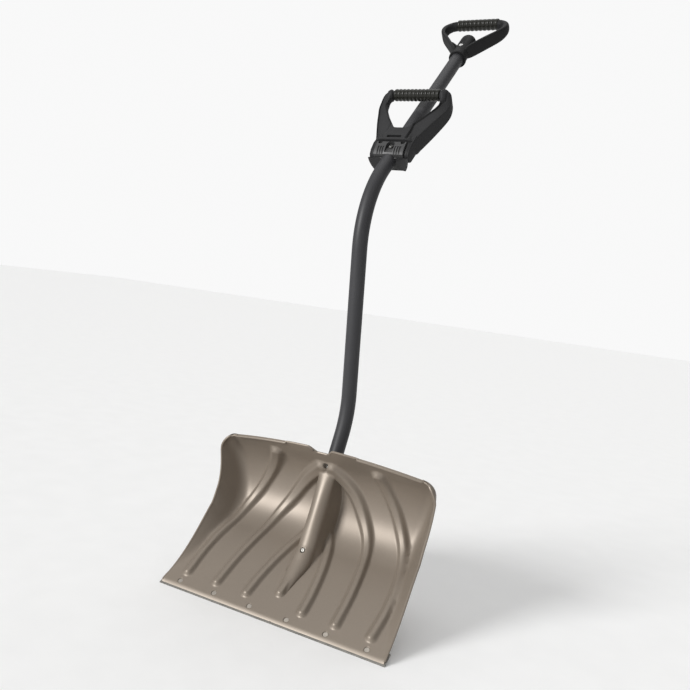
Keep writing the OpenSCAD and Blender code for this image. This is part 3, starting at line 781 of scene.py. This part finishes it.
# End grip, in the shaft frame
TOP_BAR_S, TOP_BAR_P = 667.0, 5.0
COLLAR_S, COLLAR_R, DOME_S = 515.0, 18.0, 590.0
COLLAR_LIP = 1.7        # how far the collar's lower rim stands out
TOP_RIVET_S, TOP_RIVET_P = 547.0, 17.2
TOP_RIVET_DISH = [(5.2, 5.0), (4.9, 0.0)]
BAR_R = 8.4             # of both hand bars, inside their sleeves
SLEEVE_HALF = 50.0      # half the length of both soft sleeves
TOP_SLEEVE_R = 12.5
# Guides of ring_bar for one arm, from the collar to the middle of the hand bar
TOP_ARM = [(9, 536, 2, 5, 10, 4), (19, 547, 2.5, 3.8, 14.5, 5),
           (44, 583.5, 3, 3.8, 14.6, 5.5), (64, 612, 3.5, 4.1, 13.6, 5),
           (71.5, 631, 4.5, 5.6, 12, 4), (70.5, 648, 5, 7.8, 10.8, 2.8),
           (62, 660, 5, 9.6, 10.2, 2.2), (50, 665.5, 5, 10.4, 10.4, 2),
           (48, TOP_BAR_S, TOP_BAR_P, BAR_R, BAR_R, 2), (25, TOP_BAR_S, TOP_BAR_P, BAR_R, BAR_R, 2),
           (0, TOP_BAR_S, TOP_BAR_P, BAR_R, BAR_R, 2)]
# The same for the web that braces an arm against the collar
TOP_WEB = [(8, 548, 1, 3.0, 12, 5), (22, 566, 1, 2.6, 10, 5), (33, 578, 2, 2.2, 8, 5)]


def mirrored(guides):
    """A half ring of guides followed by its mirror image."""
    return list(guides) + [(-g[0], *g[1:]) for g in guides[-2::-1]]


def make_top_grip():
    ring = ring_bar("top_grip_ring", mirrored(TOP_ARM), 150, 32)
    lip = COLLAR_R + COLLAR_LIP
    collar = ([(BORE_R, COLLAR_S + 0.8), (BORE_R + 0.8, COLLAR_S), (COLLAR_R + 0.9, COLLAR_S),
               (lip, COLLAR_S + 0.9), (lip, COLLAR_S + 3.6),
               (COLLAR_R + 0.9, COLLAR_S + 4.6), (COLLAR_R, COLLAR_S + 5.4)]
              + arc(0, DOME_S, COLLAR_R, 0, 89.5, 14)
              + [(0.01, SHAFT_TOP + 1), (BORE_R, SHAFT_TOP + 1)])
    body = shaft_lathe("top_grip_collar", collar)
    cut(body, cutter(TOP_RIVET_DISH, on_shaft(0, TOP_RIVET_S, TOP_RIVET_P), OUT_C))
    parts = [ring, body]
    for side in (-1, 1):
        web = [(side * g[0], *g[1:]) for g in TOP_WEB]
        parts.append(ring_bar("web", web, 14, 20))
    return joined("top_grip_shell", parts)


BUMP_STEPS = 16         # points along each bump of a soft sleeve
SLEEVE_SIDES = 56
SLEEVE_END = 2.0        # length over which a soft sleeve narrows to its end


def make_sleeve(name, bar_s, bar_p, radius, bumps, under, over):
    """Soft sleeve round a hand bar, with bumps this high on its under and upper side."""
    length = SLEEVE_HALF - 0.3
    x = np.linspace(-length, length, bumps * BUMP_STEPS + 1)
    turn = np.linspace(0, 360, SLEEVE_SIDES, endpoint=False)
    wave = 0.5 - 0.5 * np.cos(2 * np.pi * bumps * (x + length) / (2 * length))
    wave = wave ** 0.7
    end = (np.abs(x) - length + SLEEVE_END) / SLEEVE_END
    end = np.sqrt(1 - np.clip(end, 0, 1) ** 2 * 0.6)
    down = smooth(-sind(turn), -0.3, 0.9)
    height = over + (under - over) * down
    rings = []
    for xi, wi, ei in zip(x, wave, end):
        r = (radius - height * (1 - wi)) * ei
        rings.append(on_shaft(xi, bar_s + r * sind(turn), bar_p + r * cosd(turn)))
    # and inside, along the bar
    for xi in (length, -length):
        rings.append(on_shaft(xi, bar_s + BAR_R * sind(turn), bar_p + BAR_R * cosd(turn)))
    faces = grid_faces(len(rings), SLEEVE_SIDES, True, True)
    obj = make_object(name, np.array(rings), faces, 60)
    fix_normals(obj)
    return obj


# Fold-out grip, in the shaft frame: [x, s, front p, back p] round the outside from the
# middle of the low edge to the middle of the bar, and [x, s, front p, back p] inside it
GRIP_BAR_S, GRIP_BAR_P = 294.0, 39.0
GRIP_SLEEVE_R = 12.0
GRIP_OUTER = [(0, 154.4, 28.3, 20.5), (14, 154.4, 28.3, 20.5), (27, 154.4, 28, 20.5),
              (35, 155, 25, 17), (39.5, 159, 20.5, -9), (45, 174, 22.3, -9),
              (52, 193, 24.6, -6.5), (60, 215, 26.6, -3), (68, 239, 28, 1), (74.5, 259, 29.5, 6),
              (76, 275, 33, 12), (73.5, 290, 40, 22), (66, 302, 46, 30), (53, 306.2, 47, 33),
              (26, 306, 47, 33), (0, 306, 47, 33)]
GRIP_INNER = [(0, 193.6, 28.6, 15.8), (7, 193.6, 28.6, 15.8), (13, 194.6, 28.6, 15.8),
              (16.5, 198, 29, 15.5), (20, 203, 29.6, 15), (26, 211.5, 30.4, 14.5),
              (34, 223, 31.8, 14), (40.5, 234, 33.0, 15), (47, 245, 34.6, 17),
              (52, 254, 36.0, 20), (55.5, 263, 38, 23), (55, 272, 41, 27), (52, 278.5, 45, 30),
              (48, 281, 47, 32), (26, 282, 47, 32), (0, 282, 47, 32)]
WALL_T = 3.2
STEP_DROP = 2.2         # how far the margins lie below the middle of the plate
GROOVE_DROP = 1.5       # depth of the groove that divides them
GROOVE_OUT, GROOVE_HALF = 1.4, 1.2
PLATE_EDGE = ([150, 211, 278], [25, 23.5, 64])      # s, and x of the middle's edge there
OUTER_R, INNER_R = 2.6, 1.6                         # of the plate's edges
SIDE_ROWS, BEND_ROWS, FRONT_ROWS = 9, 5, 30         # points across a section
GRIP_STEPS = 84                                     # sections in half the ring
BAR_FROM, BAR_FULL = 0.70, 0.84                     # how far round the hand bar begins
BAR_END_R = 12.2                                    # of the hand bar beside its sleeve
BAR_SHRINK = 3.6                                    # how much less under the sleeve
BAR_STEP_X = 52                                     # where it gets thinner


def grip_section(outer, inner):
    """Section of the fold-out grip at one place: rows of [along inner to outer, p]."""
    span = math.hypot(outer[0] - inner[0], outer[1] - inner[1])
    r = min(OUTER_R, 0.2 * (outer[2] - outer[3]) + 1)
    q = INNER_R
    wall = [(span, p) for p in np.linspace(outer[3], outer[2] - r, SIDE_ROWS)]
    corner = arc(span - r, outer[2] - r, r, 0, 80, BEND_ROWS)[1:]
    t = np.linspace(1, 0, FRONT_ROWS)[1:-1]
    face = [(q + (span - r - q) * v, inner[2] + (outer[2] - inner[2]) * v) for v in t]
    bend = arc(q, inner[2] - q, q, 100, 180, BEND_ROWS)
    back = [(0, p) for p in np.linspace(inner[2] - q, inner[3], 7)[1:]]
    return np.array(wall + corner + face + bend + back)


def make_assist_shell():
    """The fold-out grip's ring: an open-backed plate that closes to a round hand bar."""
    outer = spline(GRIP_OUTER, GRIP_STEPS)
    inner = spline(GRIP_INNER, GRIP_STEPS)
    face_start = SIDE_ROWS + BEND_ROWS - 1
    rows = []
    for k in range(GRIP_STEPS):
        o, i = outer[k], inner[k]
        section = grip_section(o, i)
        n = len(section)
        span = math.hypot(o[0] - i[0], o[1] - i[1])
        way = (o[:2] - i[:2]) / span
        bar = smooth(k / (GRIP_STEPS - 1), BAR_FROM, BAR_FULL)
        turn = np.linspace(-60, 240, n)
        under_sleeve = smooth(BAR_STEP_X - abs((o[0] + i[0]) / 2), -3, 1)
        radius = BAR_END_R - BAR_SHRINK * under_sleeve
        ring = np.stack([span / 2 + radius * cosd(turn), GRIP_BAR_P + radius * sind(turn)], -1)
        mix = section * (1 - bar) + ring * bar
        x = i[0] + mix[:, 0] * way[0]
        s = i[1] + mix[:, 0] * way[1]
        p = mix[:, 1].copy()
        # the middle of the plate stands a step proud of its margins
        edge = np.interp(s, *PLATE_EDGE)
        low = smooth(x - edge, -0.6, 0.8) * smooth(s, 154, 156) * (1 - bar)
        groove = np.exp(-((x - edge - GROOVE_OUT) / GROOVE_HALF) ** 2) * (1 - bar)
        front = np.zeros(n)
        front[face_start:face_start + FRONT_ROWS - 2] = 1
        p -= front * (STEP_DROP * low + GROOVE_DROP * groove) * smooth(s, 150, 158)
        rows.append(np.stack([x, s, p], -1))
    right = np.array(rows)
    left = right[-2:0:-1] * np.array([-1, 1, 1])
    ring = np.concatenate([right, left])
    points = on_shaft(ring[..., 0], ring[..., 1], ring[..., 2])
    shell = make_object("assist_shell", points, grid_faces(*ring.shape[:2], close_rows=True),
                        SMOOTH_ROUNDED)
    face_out(shell, on_shaft(0, 170, 28.5), OUT_C)
    modify(shell, "SOLIDIFY", thickness=WALL_T * MM, offset=-1.0)
    shade(shell, SMOOTH_ROUNDED)
    return shell


def prism(name, outline, x0, x1, bevel=0.0):
    """Solid from x0 to x1 of an outline given as [p, s] points."""
    points = [on_shaft(x, s, p) for x in (x0, x1) for p, s in outline]
    obj = make_object(name, points, block_faces(len(outline)), 30)
    fix_normals(obj)
    if bevel:
        round_edges(obj, bevel)
    return obj


def bevel_edges(obj, width, segments):
    modify(obj, "BEVEL", width=width * MM, segments=segments, limit_method="ANGLE",
           angle_limit=math.radians(35))


def round_edges(obj, width):
    bevel_edges(obj, width, 3)
    shade(obj, SMOOTH_ROUNDED)


# Cheeks that carry the grip on its pins, as [p, s] outlines
PIVOT_X, PIVOT_S, PIVOT_P = 36.0, 136.0, 8.0
CHEEK_IN, CHEEK_OUT, COVER_OUT = 31.2, 37.5, 40.6
CHEEK = [(-9, 132), (-6, 126), (-2, 123.8), (6, 123.8), (11, 126), (16, 134), (20.5, 150),
         (20.5, 160), (21.5, 176), (-6, 178), (-9, 160)]
COVER = CHEEK[:-2] + [(-9, 178)]
PIN_HEAD = [(5.0, 6.0), (5.0, 0.0)]
PIN_HOLE = [(2.56, 12.0), (2.56, -12.0)]
PIN_POCKET = [(5.0, 3.2), (5.0, 0.0)]
# Stiffening ribs inside the wall: the side walls and the plate they reach, by s
STIFFENERS = (178, 202, 226, 250)
STIFFENER_T = 2
STIFFENER_OUT = ([159, 259], [39.5, 74.5])
STIFFENER_IN = ([198, 259], [16.5, 56.5])
STIFFENER_TOP = ([159, 259], [19, 27])
STIFFENER_GAP = 1.5
# Catch slot in the plate, and the blind pocket behind it
SLOT_HALF, SLOT_S0, SLOT_S1 = 15, 158.8, 166.2
SLOT_BACK, SLOT_FRONT = 18.8, 34
POCKET_HALF, POCKET_S0, POCKET_S1 = 17.2, 157, 168.4
POCKET_BACK, POCKET_FRONT = 17.2, 26


def oblong(s0, s1, back, front):
    """Outline of a box as [p, s] points."""
    return [(back, s0), (back, s1), (front, s1), (front, s0)]


def make_assist_grip():
    parts = [make_assist_shell()]
    for side in (-1, 1):
        pivot = on_shaft(side * PIVOT_X, PIVOT_S, PIVOT_P)
        cheek = prism("cheek", CHEEK, side * CHEEK_IN, side * CHEEK_OUT, 0.8)
        cut(cheek, cutter(PIN_HEAD, pivot, side * ACROSS_X))
        cut(cheek, cutter(PIN_HOLE, pivot, ACROSS_X))
        # the cover hides the pin's head in a pocket
        cover = prism("cover", COVER, side * (CHEEK_OUT - 0.3), side * COVER_OUT, 0.9)
        cut(cover, cutter(PIN_POCKET, pivot, side * ACROSS_X))
        parts += [cheek, cover]
        for s in STIFFENERS:
            x1 = np.interp(s, *STIFFENER_OUT) - STIFFENER_GAP
            x0 = np.interp(s, *STIFFENER_IN) + STIFFENER_GAP if s > 190 else 22.0
            top = np.interp(s, *STIFFENER_TOP)
            back = 12 + (s - STIFFENERS[0]) * 0.08
            parts.append(prism("rib", oblong(s, s + STIFFENER_T, back, top),
                               side * x0, side * x1))
    parts.append(prism("pocket", oblong(POCKET_S0, POCKET_S1, POCKET_BACK, POCKET_FRONT),
                       -POCKET_HALF, POCKET_HALF))
    grip = joined("assist_grip_shell", parts)
    slot = prism("slot", oblong(SLOT_S0, SLOT_S1, SLOT_BACK, SLOT_FRONT), -SLOT_HALF, SLOT_HALF)
    bevel_edges(slot, 2.0, 4)
    cut(grip, slot, solver="EXACT")
    shade(grip, SMOOTH_ROUNDED)
    return grip


# Clamp round the tube: hinge block in front, saddle with a skirt behind
BLOCK_LOW, BLOCK_TOP = 122.4, 153.5
BLOCK_HALF = 30.5
BLOCK = [(0.6, BLOCK_LOW), (14, BLOCK_LOW), (18, 128), (23, 141), (24, 149.5),
         (22.3, BLOCK_TOP), (0.6, BLOCK_TOP)]
SPLIT_P = -0.6                      # front of the saddle
CLAMP_LOW, CLAMP_HIGH = 80, 200     # reach of the cutters, past the clamp at both ends
CLAMP_SCREW_X, CLAMP_SCREW_S = 23.5, 148
SCREW_HEAD_P, NUT_P = 18, -3.8
SCREW_HEAD = [(4.4, 20), (4.4, 0)]
NUT_SEAT = [(4.25, 6.0), (4.25, 0.0)]
NUT_SIDES = 6
FLUTES = 3
FLUTE_X, FLUTE_PITCH, FLUTE_R = 12.5, 5, 1.9
ARCH_R, ARCH_S, ARCH_LOW = 8.5, 142, 118
ARCH_BACK, ARCH_FRONT = 16.4, 40
EAR_IN, EAR_LOW, EAR_BACK = 16, 127, -6.6
SKIRT_S = 121.8
SKIRT_T = 1.8
SKIRT_ROWS = ((15.0, 0.0), (20, 0.2), (27, 0.6), (34, 1.1), (42, 2.0))    # radius and droop


def tube_cutter():
    """A cutter that makes room for the tube in the clamp."""
    outline = [(0.01, CLAMP_LOW), (BORE_R, CLAMP_LOW), (BORE_R, CLAMP_HIGH), (0.01, CLAMP_HIGH)]
    return shaft_lathe("cutter", outline, 56)


def make_hinge_block():
    block = prism("hinge_block_shell", BLOCK, -BLOCK_HALF, BLOCK_HALF)
    cutters = [tube_cutter()]
    for side in (-1, 1):
        head = on_shaft(side * CLAMP_SCREW_X, CLAMP_SCREW_S, SCREW_HEAD_P)
        cutters.append(cutter(SCREW_HEAD, head, OUT_C))
        for k in range(FLUTES):
            x = side * (FLUTE_X + FLUTE_PITCH * k)
            line = [on_shaft(x, s, 17.0 + 0.38 * (s - 126)) for s in (116, 127, 138)]
            cutters.append(swept("flute", line, FLUTE_R, 16))
    # arched recess in the middle, open below
    recess = [(ARCH_R, ARCH_LOW)] + arc(0, ARCH_S, ARCH_R, 0, 180, 17) + [(-ARCH_R, ARCH_LOW)]
    points = [on_shaft(x, s, p) for p in (ARCH_BACK, ARCH_FRONT) for x, s in recess]
    arch = make_object("arch", points, block_faces(len(recess)))
    fix_normals(arch)
    cut(block, *cutters, arch)
    round_edges(block, 0.7)
    return block


def make_saddle():
    shell = shaft_lathe("saddle", [(BORE_R, SKIRT_S - 2), (TUBE_R + 4.5, SKIRT_S - 2),
                                   (TUBE_R + 4.5, BLOCK_TOP - 1), (TUBE_R + 3.6, BLOCK_TOP),
                                   (BORE_R, BLOCK_TOP)])
    cut(shell, prism("cutter", oblong(CLAMP_LOW, CLAMP_HIGH, SPLIT_P, 60), -60, 60))
    parts = [shell]
    for side in (-1, 1):
        ear = prism("ear", oblong(EAR_LOW, BLOCK_TOP, SPLIT_P, EAR_BACK),
                    side * EAR_IN, side * BLOCK_HALF, 0.8)
        nut = on_shaft(side * CLAMP_SCREW_X, CLAMP_SCREW_S, NUT_P)
        cut(ear, tube_cutter(), cutter(NUT_SEAT, nut, across(LEAN_C), NUT_SIDES))
        parts.append(ear)
    # flared skirt with drooping wing tips
    turn = np.linspace(-62, 242, 61)
    rows = []
    for r, drop in SKIRT_ROWS:
        wide = r * cosd(turn)
        deep = np.clip(-r * sind(turn), -20, min(8.0, 0.2 * r + 2))
        rows.append(on_shaft(wide * (1 - 0.004 * (8 - deep)), SKIRT_S - drop + 0 * turn, deep))
    skirt = make_object("skirt", np.array(rows), grid_faces(len(rows), len(turn)), SMOOTH_ROUNDED)
    face_out(skirt, on_shaft(0, SKIRT_S, -19), heading(LEAN_C))
    modify(skirt, "SOLIDIFY", thickness=SKIRT_T * MM, offset=-1.0)
    parts.append(skirt)
    saddle = joined("clamp_saddle_shell", parts)
    shade(saddle, SMOOTH_ROUNDED)
    return saddle


# the end grip takes the darker copy of the grip plastic, which is painted shade
finish_piece(make_top_grip(), shaded_grip_plastic, "grip_plastic", "handle", "top_grip")
top_sleeve = make_sleeve("top_grip_sleeve_soft", TOP_BAR_S, TOP_BAR_P, TOP_SLEEVE_R, 10,
                         under=1.7, over=0.6)
finish_piece(top_sleeve, rubber, "grip_rubber", "handle", "top_grip_sleeve")
finish_piece(make_hinge_block(), clamp_plastic, "clamp_plastic", "handle", "hinge_block")
finish_piece(make_saddle(), clamp_plastic, "clamp_plastic", "handle", "clamp_saddle")
finish_piece(make_assist_grip(), plastic, "grip_plastic", "assist_grip", "assist_grip")
assist_sleeve = make_sleeve("assist_grip_sleeve_soft", GRIP_BAR_S, GRIP_BAR_P, GRIP_SLEEVE_R,
                            12, under=1.2, over=1.2)
finish_piece(assist_sleeve, rubber, "grip_rubber", "assist_grip", "assist_grip_sleeve")


# ---- camera, floor and light, in metres ----
CAMERA_PLACE = Vector((0.6372, -1.08018, 0.57049))
CAMERA_AZIMUTH = 27.09
CAMERA_DOWN = 3.93
CAMERA_ROLL = 7.63
CAMERA_LENS = 39.585


def aimed(obj, place, azimuth, down, roll):
    """Points an object's -Z axis along azimuth (0 looks along +Y) and down below level."""
    az, dn, rl = (math.radians(v) for v in (azimuth, down, roll))
    ahead = Vector((-math.sin(az) * math.cos(dn), math.cos(az) * math.cos(dn), -math.sin(dn)))
    level = Vector((math.cos(az), math.sin(az), 0))
    top = level.cross(ahead)
    right = math.cos(rl) * level + math.sin(rl) * top
    up = right.cross(ahead)
    obj.matrix_world = Matrix.Translation(place) @ Matrix((right, up, -ahead)).transposed().to_4x4()


camera = bpy.data.objects.new("camera", bpy.data.cameras.new("camera"))
bpy.context.scene.collection.objects.link(camera)
camera.data.lens = CAMERA_LENS
camera.data.clip_start = 0.01
aimed(camera, CAMERA_PLACE, CAMERA_AZIMUTH, CAMERA_DOWN, CAMERA_ROLL)
bpy.context.scene.camera = camera

FLOOR_SIZE = 40.0
floor = make_object("floor", np.array([(-1, -1, 0), (1, -1, 0), (1, 1, 0), (-1, 1, 0)])
                    * FLOOR_SIZE / 2 / MM, [(0, 1, 2, 3)])
dress(floor, material("pale_floor", (0.93, 0.93, 0.925), 0.8, mottle=0.01, grain=0.0))


def panel(name, place, irradiance, softness):
    """Even light from a large soft source that stands in the direction of place."""
    light = bpy.data.objects.new(name, bpy.data.lights.new(name, "SUN"))
    light.data.energy = irradiance
    light.data.angle = math.radians(softness)
    bpy.context.scene.collection.objects.link(light)
    turn = (-Vector(place)).to_track_quat("-Z", "Y")
    light.matrix_world = Matrix.Translation(place) @ turn.to_matrix().to_4x4()


panel("key", (-1.3, -2.4, 1.0), irradiance=2.9, softness=20)
panel("top", (-0.2, 0.2, 3.0), irradiance=0.7, softness=60)
panel("back", (-0.4, 2.6, 1.9), irradiance=0.35, softness=60)
bpy.context.scene.view_settings.view_transform = "Standard"

AMBIENT = 0.36          # light that reaches the object from all around
BACKDROP = 1.18         # how bright the backdrop looks
world = bpy.data.worlds.new("studio")
world.use_nodes = True
# the backdrop looks white, while less light than that reaches the object from around it
sky = world.node_tree.nodes["Background"]
sky.inputs["Color"].default_value = (1, 1, 1, 1)
sky.inputs["Strength"].default_value = AMBIENT
backdrop = world.node_tree.nodes.new("ShaderNodeBackground")
backdrop.inputs["Strength"].default_value = BACKDROP
seen = world.node_tree.nodes.new("ShaderNodeLightPath")
choose = world.node_tree.nodes.new("ShaderNodeMixShader")
join = world.node_tree.links.new
join(seen.outputs["Is Camera Ray"], choose.inputs["Fac"])
join(sky.outputs["Background"], choose.inputs[1])
join(backdrop.outputs["Background"], choose.inputs[2])
join(choose.outputs["Shader"], world.node_tree.nodes["World Output"].inputs["Surface"])
bpy.context.scene.world = world
